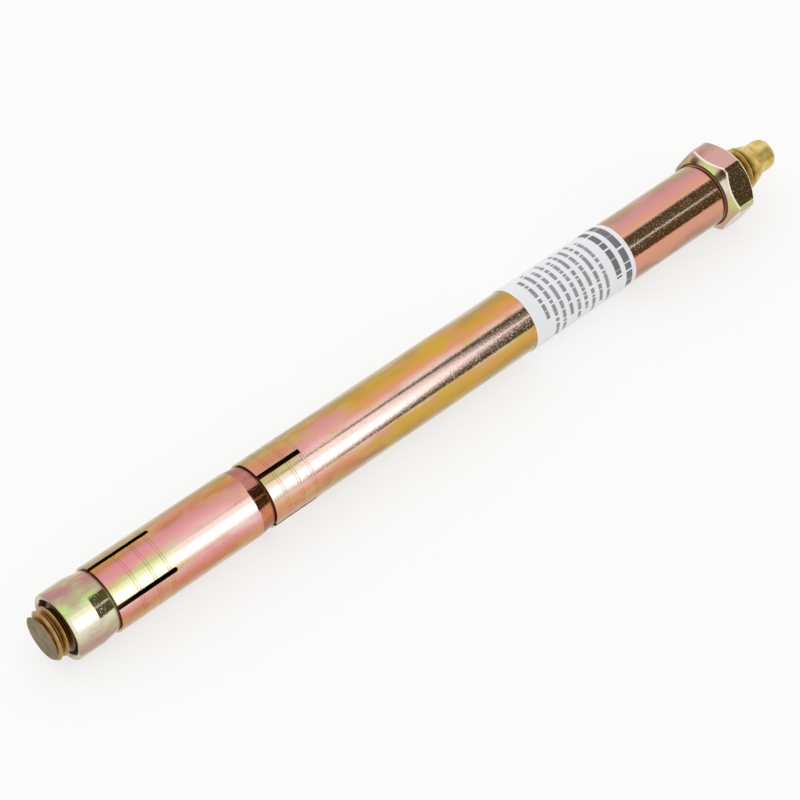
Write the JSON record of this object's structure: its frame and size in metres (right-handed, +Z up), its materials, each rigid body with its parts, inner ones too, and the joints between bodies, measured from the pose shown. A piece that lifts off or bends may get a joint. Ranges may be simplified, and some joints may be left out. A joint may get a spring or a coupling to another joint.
{
  "type": "double-expansion sleeve anchor",
  "caption": "Heavy-duty sleeve anchor: stud with hex nut, long and short slotted expansion sleeves in line, and a cone nut that spreads them in the hole.",
  "frame": {"origin": "on the anchor's axis, at the long sleeve's end beside the hex nut", "axes": "+X along the axis into the drilled hole, towards the cone nut and the stud's tip; +Z up, with one flat of the hex nut facing -Z"},
  "size_m": [0.1942, 0.0186, 0.0168],
  "materials": {
    "yellow_zinc_sleeve": "polished",
    "yellow_zinc_nut": "polished",
    "brassy_zinc_stud": "satin",
    "white_paper": "matte"
  },
  "bodies": {
    "upper_sleeve": {"upper_sleeve": "yellow_zinc_sleeve", "label": "white_paper"},
    "stud": {"stud": "brassy_zinc_stud"},
    "hex_nut": {"hex_nut": "yellow_zinc_nut"},
    "lower_sleeve": {"lower_sleeve": "yellow_zinc_sleeve"},
    "cone_nut": {"cone_nut": "yellow_zinc_nut"}
  },
  "joints": [
    {"name": "hex_nut_turn", "type": "hinge", "parent": "upper_sleeve", "child": "hex_nut", "pos_m": [0, 0, 0], "axis": [-1, 0, 0], "range_deg": [0, 2161]},
    {"name": "stud_draw", "type": "slide", "parent": "upper_sleeve", "child": "stud", "axis": [1, 0, 0], "range_m": [0, 0.009]},
    {"name": "lower_sleeve_travel", "type": "slide", "parent": "stud", "child": "lower_sleeve", "axis": [1, 0, 0], "range_m": [0, 0.009]},
    {"name": "cone_nut_turn", "type": "hinge", "parent": "lower_sleeve", "child": "cone_nut", "pos_m": [0.1645, 0, 0], "axis": [1, 0, 0], "range_deg": [0, 2161]}
  ],
  "couplings": [
    {"joint": "hex_nut_turn", "follows": "stud_draw", "rad_per_m": 4188.8},
    {"joint": "cone_nut_turn", "follows": "lower_sleeve_travel", "rad_per_m": 4188.8}
  ]
}
